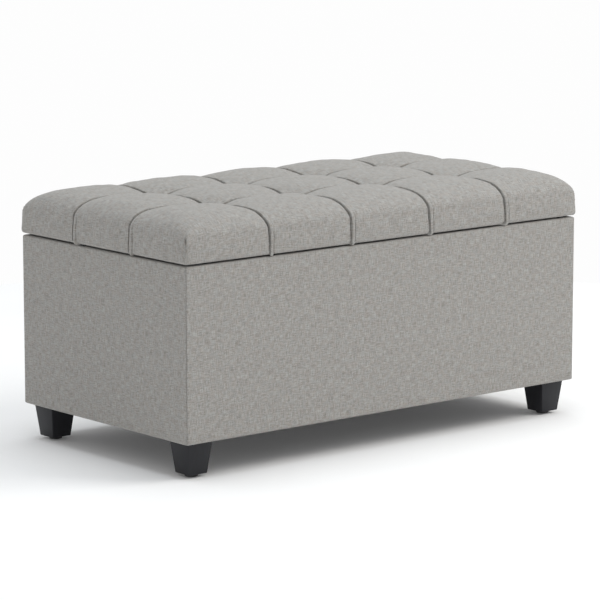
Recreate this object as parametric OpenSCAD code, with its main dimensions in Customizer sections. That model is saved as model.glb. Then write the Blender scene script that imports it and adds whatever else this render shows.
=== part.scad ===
// Upholstered storage bench: a fabric-covered box on four tapered block legs,
// with a tufted padded lid on a continuous hinge and a folding stay at each end.
// Millimetres. X runs along the bench, -Y is the front, +Z is up.
// The origin is on the floor, under the middle of the lid.

/* [Lid] */
// Length of the lid, end to end
lid_length = 864; // [760:1:1000]
// Depth of the lid, front to back
lid_depth = 455; // [430:1:500]
// Height of the padded lid, from its underside to its crown
lid_height = 82; // [76:1:90]
// How far the lid stands proud of the box on each side
lid_overhang = 3; // [3:0.5:3.5]
// Gap between the closed lid and the box
lid_gap = 3; // [3:0.5:3.5]
// Tufting pits along the length
tuft_columns = 4; // [3:1:5]
// Tufting pits across the depth
tuft_rows = 2; // [1:1:2]
// How far each pit lies below the crown
pit_depth = 29; // [15:1:32]

/* [Box] */
// Height from the floor to the crown of the lid
total_height = 434; // [420:1:480]
// Thickness of the box's and the lid's boards
board = 12; // [12:1:15]
// Thickness of the fabric with its backing pad, on the outside of the box
cover = 3; // [2.5:0.5:4]
// Thickness of the fabric where it is turned over a board's edge
wrap = 1.5; // [1:0.5:2]
// Thickness of the non-woven lining
lining = 1; // [0.6:0.2:1.2]

/* [Legs] */
// Height of the legs with their glides
leg_height = 60; // [55:1:80]
// Width of a leg at the top
leg_top = 50; // [44:1:56]
// Width of a leg at the foot
leg_foot = 37; // [30:1:44]
// Distance from the box's face to the top of the leg
leg_inset = 12; // [10:1:20]
// Diameter of the plastic glide
glide_diameter = 22; // [18:1:26]
// Height of the plastic glide
glide_height = 5; // [4:0.5:6]

/* [Hinge] */
// Length of one hinge knuckle
knuckle_length = 30; // [24:1:32]
// Number of knuckles, an odd number
knuckle_count = 27; // [21:2:27]
// Thickness of a hinge leaf
leaf = 1; // [0.8:0.1:1]
// Radius of the hinge pin
pin_radius = 1; // [0.8:0.1:1]

/* [Stays] */
// Stay pivot on the box: distance in front of the hinge axis
box_pivot_forward = 90; // [85:1:95]
// Stay pivot on the box: distance below the hinge axis
box_pivot_down = 45; // [42:1:50]
// Stay pivot on the lid: distance in front of the hinge axis
lid_pivot_forward = 170; // [160:1:180]
// Stay pivot on the lid: distance below the hinge axis
lid_pivot_down = 16; // [15:1:18]
// Width of a stay arm between its eyes
arm_width = 13; // [10:1:14]
// Thickness of a stay's arms and brackets
arm = 2; // [1.5:0.5:2]

/* [Hidden] */
$fn = 48;
running = 0.05;
cut = 1;

// levels above the floor
lid_bottom = total_height - lid_height;
box_top = lid_bottom - lid_gap;
box_bottom = leg_height;
panel_top = box_top - wrap;
panel_bottom = box_bottom + wrap;
block_height = 20;
floor_bottom = panel_bottom + block_height;
floor_top = floor_bottom + board;
lining_bottom = floor_top + lining;

// half sizes of the box, from the outside in
box_x = lid_length / 2 - lid_overhang;
box_y = lid_depth / 2 - lid_overhang;
panel_x = box_x - cover;
panel_y = box_y - cover;
inner_x = panel_x - board;
inner_y = panel_y - board;
lined_x = inner_x - lining;
lined_y = inner_y - lining;
rim = cover + board;

// frame under the floor of the box
block_width = 60;
cleat_width = 20;

// legs, with a hanger bolt up into a T-nut in the corner block
leg_x = box_x - leg_inset - leg_top / 2;
leg_y = box_y - leg_inset - leg_top / 2;
bolt_radius = 4;
bolt_in_leg = 35;
bolt_clear = 0.5;
nut_radius = 5;
nut_length = 10;
nut_flange_radius = 11;
nut_flange = 1.5;
glide_nail_radius = 2;
glide_nail = 13;

// lid construction
lid_x = lid_length / 2;
lid_y = lid_depth / 2;
skin = 1.7;
edge_pad = 6;
turn_under = 30;
lid_corner = 12;
shoulder = lid_bottom + 0.54 * lid_height;
crown_reach = 95;
bottom_chamfer = 4;
lid_board_bottom = lid_bottom + skin;
column_pitch = lid_length / (tuft_columns + 1);
row_pitch = lid_depth / (tuft_rows + 1);
pit_bottom = total_height - pit_depth;
pit_floor_radius = 4;
pit_rim_radius = 42;
tie_radius = 1.2;
tie_hole_radius = 3;
washer_radius = 10;
washer = 2;

// hinge, on the back top edge of the box
axis_y = box_y + 1;
axis_z = box_top + lid_gap / 2;
knuckle_radius = 2;
knuckle_space = 0.6;
leaf_near = knuckle_radius + 0.4;
leaf_far = 14;
leaf_screw = 10;
hinge_length = knuckle_length * knuckle_count;
hinge_screw_pitch = 3 * knuckle_length;
hinge_screw_count = 9;

// stays: a parallelogram of two arms at each end of the box
box_pivot = [box_pivot_forward, -box_pivot_down];
lid_pivot = [lid_pivot_forward, -lid_pivot_down];
elbow = box_pivot + lid_pivot;
layer_gap = 0.5;
rivet_radius = 3;
eye_radius = 8;
rivet_head_radius = 5;
rivet_head = 1;
elbow_clear = 0.3;
bracket_face = lined_x - arm;
lower_face = bracket_face - layer_gap - arm;
upper_face = lower_face - layer_gap - arm;
tab_face = upper_face - layer_gap - arm;
bracket_width = 36;
bracket_above = 16;
bracket_below = 28;
bracket_screws = [[-11, -20], [11, -20], [-11, 9]];
tab_width = 24;
flange_width = 22;
flange_length = 60;
flange_screws = [-20, 20];

// screws
screw_radius = 1.5;
screw_head_radius = 2.7;
screw_length = 12;
joint_screw_radius = 2.5;
joint_screw_head_radius = 4.5;
joint_screw_length = 50;
joint_screw_z = [115, 205, 295];

bumper_radius = 5;
bumper_from_corner = 30;
bumper_side_y = 60;
bumper_places = [[bumper_from_corner - box_x, rim / 2 - box_y], [box_x - bumper_from_corner, rim / 2 - box_y],
                 [rim / 2 - box_x, bumper_side_y], [box_x - rim / 2, bumper_side_y]];

linen = [0.66, 0.65, 0.62];
black_wood = [0.10, 0.10, 0.11];
pine = [0.80, 0.66, 0.46];
ply = [0.72, 0.58, 0.40];
dark_lining = [0.16, 0.16, 0.17];
zinc = [0.75, 0.76, 0.78];
foam_yellow = [0.93, 0.88, 0.70];

// ---- helpers ----

// Points on an arc about c, from angle a to angle b
function arc(c, r, a, b, steps) =
    [for (i = [0 : steps]) c + r * [cos(a + (b - a) * i / steps), sin(a + (b - a) * i / steps)]];

// A closed box from its low corner to its high corner
module span(low, high) {
    translate(low) cube(high - low);
}

// One copy at each of the four corners, all turned the same way
module at_corners(x, y) {
    for (sx = [-1, 1], sy = [-1, 1]) translate([sx * x, sy * y, 0]) children();
}

// A plate in the YZ plane: its outline is drawn forward of the hinge axis and above it
module side_plate(face, thickness) {
    translate([face, axis_y, axis_z]) rotate([90, 0, 90])
        linear_extrude(thickness) mirror([1, 0]) children();
}

// The same at the left end when side is -1, and at the right end when it is 1
module at_end(side) {
    mirror([side < 0 ? 1 : 0, 0, 0]) children();
}

// A countersunk screw whose head is flush with Z = 0 and whose point is down
module screw(length, radius, head_radius) {
    head = head_radius - radius;
    difference() {
        union() {
            translate([0, 0, -head]) cylinder(h = head, r1 = radius, r2 = head_radius);
            translate([0, 0, -length]) cylinder(h = length - head, r = radius);
        }
        for (turn = [0, 90]) rotate(turn)
            translate([-radius, -0.3, -0.7]) cube([2 * radius, 0.6, cut]);
    }
}

// What the same screw takes out of the parts that it holds
module screw_hole(length, radius, head_radius) {
    head = head_radius - radius;
    translate([0, 0, -head]) cylinder(h = head, r1 = radius, r2 = head_radius);
    translate([0, 0, -length]) cylinder(h = length - head, r = radius);
}

// ---- box ----

module at_joint_screws() {
    for (side_y = [-1, 1], side_x = [-1, 1], z = joint_screw_z)
        translate([side_x * (inner_x + board / 2), side_y * panel_y, z])
            rotate([-90 * side_y, 0, 0]) children();
}

module joint_screw_holes() {
    at_joint_screws() screw_hole(joint_screw_length, joint_screw_radius, joint_screw_head_radius);
}

module front_panel() {
    color(ply) difference() {
        span([-panel_x, -panel_y, panel_bottom], [panel_x, -inner_y, panel_top]);
        joint_screw_holes();
    }
}

module back_panel() {
    color(ply) difference() {
        span([-panel_x, inner_y, panel_bottom], [panel_x, panel_y, panel_top]);
        joint_screw_holes();
        hinge_screw_holes(-1);
    }
}

module end_panel(side) {
    color(ply) difference() {
        at_end(side) span([inner_x, -inner_y, panel_bottom], [panel_x, inner_y, panel_top]);
        joint_screw_holes();
        at_end(side) stay_box_screw_holes();
    }
}

module bottom_panel() {
    color(ply) span([-inner_x, -inner_y, floor_bottom], [inner_x, inner_y, floor_top]);
}

module corner_blocks() {
    w = block_width / 2;
    color(pine) difference() {
        at_corners(inner_x - w, inner_y - w) span([-w, -w, panel_bottom], [w, w, floor_bottom]);
        at_corners(leg_x, leg_y) {
            translate([0, 0, floor_bottom - nut_flange])
                cylinder(h = nut_flange + cut, r = nut_flange_radius);
            translate([0, 0, floor_bottom - nut_flange - nut_length])
                cylinder(h = nut_length + cut, r = nut_radius);
            translate([0, 0, panel_bottom - cut])
                cylinder(h = block_height, r = bolt_radius + bolt_clear);
        }
    }
}

module bottom_cleats() {
    along_x = inner_x - block_width;
    along_y = inner_y - block_width;
    color(pine) {
        for (s = [-1, 1]) {
            translate([0, s * (inner_y - cleat_width / 2), 0])
                span([-along_x, -cleat_width / 2, panel_bottom], [along_x, cleat_width / 2, floor_bottom]);
            translate([s * (inner_x - cleat_width / 2), 0, 0])
                span([-cleat_width / 2, -along_y, panel_bottom], [cleat_width / 2, along_y, floor_bottom]);
        }
    }
}

module panel_screws() {
    color(zinc) at_joint_screws()
        screw(joint_screw_length, joint_screw_radius, joint_screw_head_radius);
}

// One wall of the cover: the fabric over the -Y face, turned over the top and bottom edges,
// and mitred where it meets the next wall at the corner seam
module wall_cover(half_length, half_depth) {
    mitre = rim + 5;
    outline = concat(
        arc([cover, box_top - cover], cover, 180, 90, 4),
        [[rim, box_top], [rim, panel_top], [cover, panel_top],
         [cover, panel_bottom], [rim, panel_bottom], [rim, box_bottom]],
        arc([cover, box_bottom + cover], cover, 270, 180, 4));
    color(linen) intersection() {
        translate([-half_length, -half_depth, 0]) rotate([90, 0, 90])
            linear_extrude(2 * half_length) polygon(outline);
        linear_extrude(total_height) polygon([
            [-half_length, -half_depth], [half_length, -half_depth],
            [half_length - mitre, mitre - half_depth], [mitre - half_length, mitre - half_depth]]);
    }
}

module back_cover() {
    color(linen) difference() {
        rotate(180) wall_cover(box_x, box_y);
        hinge_screw_holes(-1);
    }
}

module wall_lining() {
    color(dark_lining) difference() {
        span([-inner_x, -inner_y, lining_bottom], [inner_x, inner_y, panel_top]);
        span([-lined_x, -lined_y, lining_bottom - cut], [lined_x, lined_y, panel_top + cut]);
        for (side = [-1, 1]) at_end(side) stay_box_screw_holes();
    }
}

module floor_lining() {
    color(dark_lining) span([-inner_x, -inner_y, floor_top], [inner_x, inner_y, lining_bottom]);
}

module dust_cover() {
    color(dark_lining) difference() {
        span([-inner_x, -inner_y, box_bottom], [inner_x, inner_y, box_bottom + lining]);
        at_corners(leg_x, leg_y) translate([0, 0, box_bottom - cut])
            cylinder(h = lining + 2 * cut, r = bolt_radius + bolt_clear);
    }
}

module lid_bumpers() {
    color([0.2, 0.2, 0.2]) for (p = bumper_places)
        translate([p[0], p[1], box_top]) cylinder(h = lid_gap, r = bumper_radius);
}

// ---- legs ----

// A square block that tapers to the foot, bored for its bolt and its glide
module leg(side_x, side_y) {
    top = leg_top / 2;
    foot = leg_foot / 2;
    side = [[-foot, glide_height], [foot, glide_height], [top, leg_height], [-top, leg_height]];
    color(black_wood) translate([side_x * leg_x, side_y * leg_y, 0]) difference() {
        intersection() {
            translate([0, top, 0]) rotate([90, 0, 0]) linear_extrude(leg_top) polygon(side);
            translate([-top, 0, 0]) rotate([90, 0, 90]) linear_extrude(leg_top) polygon(side);
        }
        translate([0, 0, leg_height - bolt_in_leg]) cylinder(h = bolt_in_leg + cut, r = bolt_radius);
        translate([0, 0, glide_height - cut]) cylinder(h = glide_nail + cut, r = glide_nail_radius);
    }
}

module leg_hanger_bolts() {
    bottom = leg_height - bolt_in_leg;
    color(zinc) at_corners(leg_x, leg_y) translate([0, 0, bottom])
        cylinder(h = floor_bottom - nut_flange - bottom, r = bolt_radius);
}

module leg_t_nuts() {
    color(zinc) at_corners(leg_x, leg_y) translate([0, 0, floor_bottom]) difference() {
        union() {
            translate([0, 0, -nut_flange]) cylinder(h = nut_flange, r = nut_flange_radius);
            translate([0, 0, -nut_flange - nut_length])
                cylinder(h = nut_length + nut_flange, r = nut_radius);
        }
        translate([0, 0, -nut_flange - nut_length - cut])
            cylinder(h = nut_length + nut_flange + 2 * cut, r = bolt_radius);
    }
}

module leg_glides() {
    r = glide_diameter / 2;
    color([0.12, 0.12, 0.12]) at_corners(leg_x, leg_y) rotate_extrude() polygon([
        [0, 0], [r - 1, 0], [r, 1], [r, glide_height],
        [glide_nail_radius, glide_height], [glide_nail_radius, glide_height + glide_nail],
        [0, glide_height + glide_nail]]);
}

// ---- lid ----

// Half of the lid's section on one axis: chamfered at the bottom, a quarter ellipse at the top
function crowned(half, inset) = let (
        reach = crown_reach - inset,
        rise = total_height - inset - shoulder)
    concat(
        [[half - inset - bottom_chamfer, lid_bottom + inset],
         [half - inset, lid_bottom + inset + bottom_chamfer]],
        [for (a = [0 : 10 : 90])
            [half - inset - reach * (1 - cos(a)), shoulder + rise * sin(a)]]);

function mirrored(points) = concat(points,
    [for (i = [len(points) - 1 : -1 : 0]) [-points[i][0], points[i][1]]]);

// The padded lid's outer shape, taken in by inset all round
module crowned_block(inset) {
    x = lid_x - inset;
    y = lid_y - inset;
    r = lid_corner - inset;
    intersection() {
        translate([0, lid_y, 0]) rotate([90, 0, 0])
            linear_extrude(lid_depth) polygon(mirrored(crowned(lid_x, inset)));
        translate([-lid_x, 0, 0]) rotate([90, 0, 90])
            linear_extrude(lid_length) polygon(mirrored(crowned(lid_y, inset)));
        linear_extrude(total_height + cut) union() {
            square([2 * (x - r), 2 * y], center = true);
            square([2 * x, 2 * (y - r)], center = true);
            for (sx = [-1, 1], sy = [-1, 1]) translate([sx * (x - r), sy * (y - r)]) circle(r);
        }
    }
}

module at_tufts() {
    for (i = [0 : tuft_columns - 1], j = [0 : tuft_rows - 1])
        translate([(i - (tuft_columns - 1) / 2) * column_pitch, (j - (tuft_rows - 1) / 2) * row_pitch, 0])
            children();
}

module pits(inset) {
    at_tufts() translate([0, 0, pit_bottom - inset])
        cylinder(h = pit_depth, r1 = pit_floor_radius + inset, r2 = pit_rim_radius);
}

module padding(inset) {
    difference() {
        crowned_block(inset);
        pits(inset);
    }
}

module board_block() {
    span([edge_pad - lid_x, edge_pad - lid_y, lid_board_bottom],
         [lid_x - edge_pad, lid_y - edge_pad, lid_board_bottom + board]);
}

module lid_cover() {
    color(linen) difference() {
        padding(0);
        padding(skin);
        span([turn_under - lid_x, turn_under - lid_y, lid_bottom - cut],
             [lid_x - turn_under, lid_y - turn_under, lid_board_bottom + cut]);
        hinge_screw_holes(1);
    }
}

module lid_foam() {
    color(foam_yellow) difference() {
        padding(skin);
        board_block();
        at_tufts() translate([0, 0, lid_board_bottom]) cylinder(h = lid_height, r = tie_radius);
    }
}

module lid_board() {
    color(ply) difference() {
        board_block();
        at_tufts() {
            translate([0, 0, lid_bottom]) cylinder(h = lid_height, r = tie_hole_radius);
            translate([0, 0, lid_bottom]) cylinder(h = skin + washer, r = washer_radius + 0.5);
        }
        hinge_screw_holes(1);
        for (side = [-1, 1]) at_end(side) stay_lid_screw_holes();
    }
}

module lid_lining() {
    color(dark_lining) difference() {
        span([turn_under - lid_x, turn_under - lid_y, lid_bottom],
             [lid_x - turn_under, lid_y - turn_under, lid_board_bottom]);
        for (side = [-1, 1]) at_end(side) stay_lid_screw_holes();
    }
}

module tuft_ties() {
    color([0.9, 0.88, 0.82]) at_tufts() translate([0, 0, lid_board_bottom])
        cylinder(h = pit_bottom - skin - lid_board_bottom, r = tie_radius);
}

module tuft_washers() {
    color([0.25, 0.25, 0.26]) at_tufts() translate([0, 0, lid_board_bottom]) difference() {
        cylinder(h = washer, r = washer_radius);
        translate([0, 0, -cut]) cylinder(h = washer + 2 * cut, r = tie_radius);
    }
}

// ---- hinge ----

// Draws its children in the hinge's own frame: X along the pin, Y forward, Z up
module at_axis() {
    translate([0, axis_y, axis_z]) mirror([0, 1, 0]) children();
}

// One leaf with every second knuckle, from the knuckle numbered first;
// side is -1 for the box's leaf and 1 for the lid's
module hinge_leaf(first, bore, side) {
    low = side * (lid_gap - leaf) / 2 - leaf / 2;
    width = knuckle_length - knuckle_space;
    color(zinc) difference() {
        at_axis() {
            translate([-hinge_length / 2, leaf_near, low])
                cube([hinge_length, leaf_far - leaf_near, leaf]);
            for (i = [first : 2 : knuckle_count - 1])
                translate([(i - (knuckle_count - 1) / 2) * knuckle_length - width / 2, 0, 0]) {
                    rotate([0, 90, 0]) cylinder(h = width, r = knuckle_radius);
                    translate([0, 0, low]) cube([width, leaf_near + leaf, leaf]);
                }
        }
        at_axis() translate([-hinge_length, 0, 0]) rotate([0, 90, 0])
            cylinder(h = 2 * hinge_length, r = bore);
        hinge_screw_holes(side);
    }
}

module hinge_pin() {
    color(zinc) at_axis() translate([-hinge_length / 2, 0, 0]) rotate([0, 90, 0])
        cylinder(h = hinge_length, r = pin_radius);
}

// Screws of one leaf; side as for hinge_leaf
module at_hinge_screws(side) {
    at_axis() for (i = [0 : hinge_screw_count - 1])
        translate([(i - (hinge_screw_count - 1) / 2) * hinge_screw_pitch, leaf_screw,
                   side * (lid_gap / 2 - leaf)])
            mirror([0, 0, side > 0 ? 1 : 0]) children();
}

module hinge_screw_holes(side) {
    at_hinge_screws(side) screw_hole(screw_length, screw_radius, screw_radius + leaf);
}

module hinge_screws(side) {
    color(zinc) at_hinge_screws(side) screw(screw_length, screw_radius, screw_radius + leaf);
}

// ---- stays ----

// A flat bar with a round eye at each end, drilled through both eyes
module bar(a, b, hole_a, hole_b) {
    d = b - a;
    difference() {
        union() {
            translate(a) rotate(atan2(d[1], d[0])) translate([0, -arm_width / 2])
                square([norm(d), arm_width]);
            translate(a) circle(eye_radius);
            translate(b) circle(eye_radius);
        }
        translate(a) circle(hole_a);
        translate(b) circle(hole_b);
    }
}

// A rivet along X through the point p, from face to face + length, with a head on its inner end
module rivet(p, face, length) {
    color(zinc) {
        side_plate(face, length) translate(p) circle(rivet_radius);
        side_plate(face - rivet_head, rivet_head) translate(p) circle(rivet_head_radius);
    }
}

module stay_box_screw_holes() {
    at_stay_box_screws() screw_hole(screw_length, screw_radius, screw_head_radius);
}

module stay_lid_screw_holes() {
    at_stay_lid_screws() screw_hole(screw_length, screw_radius, screw_head_radius);
}

module at_stay_box_screws() {
    for (p = bracket_screws)
        translate([bracket_face, axis_y - box_pivot[0] - p[0], axis_z + box_pivot[1] + p[1]])
            rotate([0, -90, 0]) children();
}

module at_stay_lid_screws() {
    for (s = flange_screws)
        translate([tab_face - flange_width / 2, axis_y - lid_pivot[0] - s, lid_bottom - arm])
            rotate([180, 0, 0]) children();
}

module stay_box_bracket(side) {
    color(zinc) at_end(side) difference() {
        side_plate(bracket_face, arm) difference() {
            translate(box_pivot) translate([-bracket_width / 2, -bracket_below])
                square([bracket_width, bracket_below + bracket_above]);
            translate(box_pivot) circle(rivet_radius);
        }
        stay_box_screw_holes();
    }
}

module stay_lid_bracket(side) {
    color(zinc) at_end(side) difference() {
        union() {
            side_plate(tab_face, arm) difference() {
                union() {
                    translate([lid_pivot[0] - tab_width / 2, lid_pivot[1]])
                        square([tab_width, lid_gap / 2 - lid_pivot[1]]);
                    translate(lid_pivot) circle(tab_width / 2);
                }
                translate(lid_pivot) circle(rivet_radius);
            }
            translate([tab_face - flange_width, axis_y - lid_pivot[0] - flange_length / 2, lid_bottom - arm])
                cube([flange_width + arm, flange_length, arm]);
        }
        stay_lid_screw_holes();
    }
}

module lower_arm(side) {
    color(zinc) at_end(side) side_plate(lower_face, arm)
        bar(box_pivot, elbow, rivet_radius + running, rivet_radius);
}

module upper_arm(side) {
    color(zinc) at_end(side) side_plate(upper_face, arm)
        bar(lid_pivot, elbow, rivet_radius + running, rivet_radius + elbow_clear);
}

// Fixed in the box's bracket, with the lower arm turning on it
module box_rivet(side) {
    at_end(side) rivet(box_pivot, lower_face, 2 * arm + layer_gap);
}

// Fixed in the lower arm, with the upper arm turning on it
module elbow_rivet(side) {
    at_end(side) rivet(elbow, upper_face - layer_gap, 2 * arm + 2 * layer_gap);
}

// Fixed in the lid's bracket, with the upper arm turning on it; its head is on the outer side
module lid_rivet(side) {
    head_face = upper_face + arm + layer_gap / 2;
    color(zinc) at_end(side) {
        side_plate(tab_face, head_face - tab_face) translate(lid_pivot) circle(rivet_radius);
        side_plate(head_face, rivet_head) translate(lid_pivot) circle(rivet_head_radius);
    }
}

module stay_box_screws() {
    color(zinc) for (side = [-1, 1]) at_end(side) at_stay_box_screws()
        screw(screw_length, screw_radius, screw_head_radius);
}

module stay_lid_screws() {
    color(zinc) for (side = [-1, 1]) at_end(side) at_stay_lid_screws()
        screw(screw_length, screw_radius, screw_head_radius);
}

front_panel();
back_panel();
end_panel(-1);  // left_end_panel
end_panel(1);  // right_end_panel
bottom_panel();
corner_blocks();
bottom_cleats();
panel_screws();
wall_cover(box_x, box_y);  // front_cover
back_cover();
rotate(-90) wall_cover(box_y, box_x);  // left_cover
rotate(90) wall_cover(box_y, box_x);  // right_cover
wall_lining();
floor_lining();
dust_cover();
leg(-1, -1);  // leg_front_left
leg(1, -1);  // leg_front_right
leg(-1, 1);  // leg_back_left
leg(1, 1);  // leg_back_right
leg_hanger_bolts();
leg_t_nuts();
leg_glides();
lid_bumpers();
hinge_leaf(0, pin_radius, -1);  // hinge_box_leaf
hinge_leaf(1, pin_radius + running, 1);  // hinge_lid_leaf
hinge_pin();
hinge_screws(-1);  // hinge_box_screws
hinge_screws(1);  // hinge_lid_screws
lid_board();
lid_foam();
lid_cover();
lid_lining();
tuft_ties();
tuft_washers();
stay_box_bracket(-1);  // left_stay_box_bracket
stay_box_bracket(1);  // right_stay_box_bracket
box_rivet(-1);  // left_stay_box_rivet
box_rivet(1);  // right_stay_box_rivet
lower_arm(-1);  // left_stay_lower_arm
lower_arm(1);  // right_stay_lower_arm
elbow_rivet(-1);  // left_stay_elbow_rivet
elbow_rivet(1);  // right_stay_elbow_rivet
upper_arm(-1);  // left_stay_upper_arm
upper_arm(1);  // right_stay_upper_arm
lid_rivet(-1);  // left_stay_lid_rivet
lid_rivet(1);  // right_stay_lid_rivet
stay_lid_bracket(-1);  // left_stay_lid_bracket
stay_lid_bracket(1);  // right_stay_lid_bracket
stay_box_screws();
stay_lid_screws();
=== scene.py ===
"""The storage bench's visual model: upholstery, linings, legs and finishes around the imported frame."""
import math

import bmesh
import bpy
import numpy as np
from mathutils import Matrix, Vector
from mathutils.kdtree import KDTree


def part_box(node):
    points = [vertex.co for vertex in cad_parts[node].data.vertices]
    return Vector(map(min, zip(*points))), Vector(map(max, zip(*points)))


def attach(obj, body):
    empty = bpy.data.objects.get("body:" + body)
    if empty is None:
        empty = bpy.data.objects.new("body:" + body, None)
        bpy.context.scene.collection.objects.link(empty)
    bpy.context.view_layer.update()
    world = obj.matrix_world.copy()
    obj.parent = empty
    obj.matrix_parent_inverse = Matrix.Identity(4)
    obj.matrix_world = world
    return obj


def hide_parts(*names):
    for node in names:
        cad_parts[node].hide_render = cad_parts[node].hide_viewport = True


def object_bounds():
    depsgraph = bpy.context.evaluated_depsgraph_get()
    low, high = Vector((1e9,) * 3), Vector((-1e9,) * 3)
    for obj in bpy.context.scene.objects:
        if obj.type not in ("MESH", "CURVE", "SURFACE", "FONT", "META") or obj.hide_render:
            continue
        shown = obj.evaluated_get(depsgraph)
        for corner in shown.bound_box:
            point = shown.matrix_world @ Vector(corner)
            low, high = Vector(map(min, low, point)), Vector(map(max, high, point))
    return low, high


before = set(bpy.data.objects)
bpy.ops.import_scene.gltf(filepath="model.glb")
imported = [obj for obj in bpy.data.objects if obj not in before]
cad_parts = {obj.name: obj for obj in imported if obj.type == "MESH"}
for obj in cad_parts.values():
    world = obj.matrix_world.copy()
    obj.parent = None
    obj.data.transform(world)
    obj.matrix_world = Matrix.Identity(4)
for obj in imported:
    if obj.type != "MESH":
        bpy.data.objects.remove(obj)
CAD_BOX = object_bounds()
MM = 0.001


# ---------------------------------------------------------------- camera, floor and light

CAMERA_AZIMUTH = math.radians(-39.812)
CAMERA_ELEVATION = math.radians(9.857)
CAMERA_DISTANCE = 5.743
CAMERA_LENS_MM = 200.3
CAMERA_SHIFT_X = -0.0056
CAMERA_REACH = 100
LOOK_AT = Vector((0, 0, 0.2193))

SKY_STRENGTH = 0.585
GROUND_STRENGTH = 0.985        # of the white that carries the floor on to the horizon
GROUND_LEVEL = -0.06           # heights of the line of sight where the ground ends and the sky begins
SKY_LEVEL = 0.02
KEY_LIGHT = {"place": (1.7, -1.77, 2.57), "size": 1.6, "power": 43, "colour": (1.0, 0.985, 0.96)}
TOP_LIGHT = {"place": (0.0, 0.3, 6.2), "size": 4.2, "power": 150, "colour": (0.90, 0.955, 1.0)}
FLOOR_RADIUS = 1.6
FLOOR_SIDES = 64
FLOOR_GAP = 0.2 * MM           # from the floor up to the glides
FLOOR_GLOW = 0.04


def make_camera():
    data = bpy.data.cameras.new("camera")
    data.lens = CAMERA_LENS_MM
    data.shift_x = CAMERA_SHIFT_X
    data.clip_end = CAMERA_REACH
    camera = bpy.data.objects.new("camera", data)
    bpy.context.scene.collection.objects.link(camera)
    back = Vector((
        math.sin(CAMERA_AZIMUTH) * math.cos(CAMERA_ELEVATION),
        -math.cos(CAMERA_AZIMUTH) * math.cos(CAMERA_ELEVATION),
        math.sin(CAMERA_ELEVATION),
    ))
    camera.location = LOOK_AT + back * CAMERA_DISTANCE
    camera.rotation_mode = "QUATERNION"
    camera.rotation_quaternion = (-back).to_track_quat("-Z", "Y")
    bpy.context.scene.camera = camera


def area_light(name, place, size, power, colour):
    """A square soft light at place, turned to the bench."""
    data = bpy.data.lights.new(name, "AREA")
    data.size = size
    data.energy = power
    data.color = colour
    light = bpy.data.objects.new(name, data)
    bpy.context.scene.collection.objects.link(light)
    light.location = place
    light.rotation_mode = "QUATERNION"
    light.rotation_quaternion = (LOOK_AT - light.location).to_track_quat("-Z", "Y")


def paint_sky(tree):
    """A soft pale sky over a white ground that carries the floor on to the horizon."""
    place = tree.nodes.new("ShaderNodeTexCoord")
    height = tree.nodes.new("ShaderNodeSeparateXYZ")
    level = tree.nodes.new("ShaderNodeMapRange")
    level.inputs["From Min"].default_value = GROUND_LEVEL
    level.inputs["From Max"].default_value = SKY_LEVEL
    level.inputs["To Min"].default_value = GROUND_STRENGTH
    level.inputs["To Max"].default_value = SKY_STRENGTH
    tree.links.new(place.outputs["Generated"], height.inputs[0])
    tree.links.new(height.outputs["Z"], level.inputs["Value"])
    sky = tree.nodes["Background"]
    sky.inputs["Color"].default_value = (1, 1, 1, 1)
    tree.links.new(level.outputs[0], sky.inputs["Strength"])


def make_floor():
    """A round floor just under the glides."""
    turns = [2 * math.pi * k / FLOOR_SIDES for k in range(FLOOR_SIDES)]
    ring = [(FLOOR_RADIUS * math.cos(turn), FLOOR_RADIUS * math.sin(turn), 0) for turn in turns]
    mesh = bpy.data.meshes.new("floor")
    mesh.from_pydata(ring, [], [tuple(range(FLOOR_SIDES))])
    floor = bpy.data.objects.new("floor", mesh)
    bpy.context.scene.collection.objects.link(floor)
    floor.location.z = CAD_BOX[0].z - FLOOR_GAP
    mesh.materials.append(floor_paint())


def make_studio():
    scene = bpy.context.scene
    scene.view_settings.view_transform = "Standard"
    world = bpy.data.worlds.new("studio")
    world.use_nodes = True
    paint_sky(world.node_tree)
    scene.world = world
    area_light("key", **KEY_LIGHT)
    area_light("top", **TOP_LIGHT)
    make_floor()


# ---------------------------------------------------------------- materials

WEAVE = "Weave"                # the UV map that the cloths' materials read, in metres on the flat cloth
MIX_FACTOR, MIX_A, MIX_B, MIX_RESULT = 0, 6, 7, 2      # a mix node's sockets for colours
BLACK = (0, 0, 0)
WHITE = (1, 1, 1)


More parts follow.
